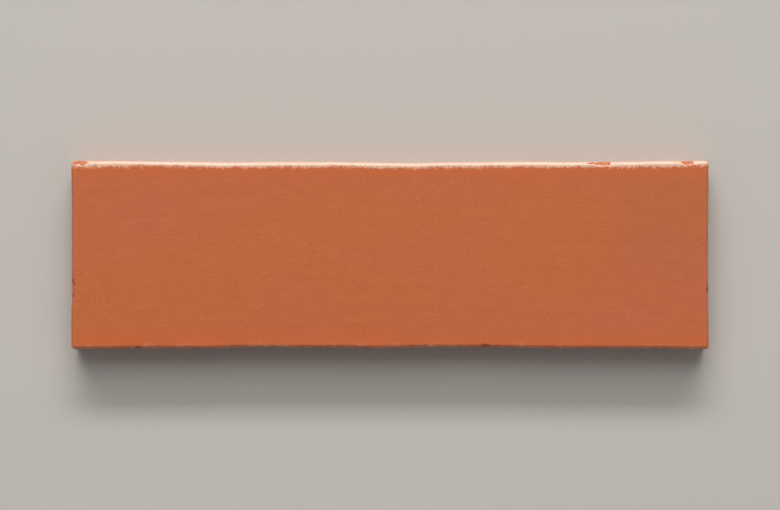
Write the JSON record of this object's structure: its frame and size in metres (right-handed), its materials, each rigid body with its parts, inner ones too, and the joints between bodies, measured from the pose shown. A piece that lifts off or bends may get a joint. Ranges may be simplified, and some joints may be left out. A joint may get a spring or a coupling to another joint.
{
  "type": "clinker brick slip",
  "caption": "Thin terracotta facing slip: a smooth flat face with soft arrises, slightly wavering edges, and lengthwise dovetail keys across its back.",
  "frame": {"origin": "middle of the back, on the plane that its ribs stand on", "axes": "+X along the length, +Y across the width, +Z from the back out through the face"},
  "size_m": [0.24, 0.071, 0.014],
  "materials": {
    "fired_clay": "matt, unglazed, fired through"
  },
  "bodies": {
    "root": {"brick_slip": "fired_clay"}
  },
  "joints": []
}
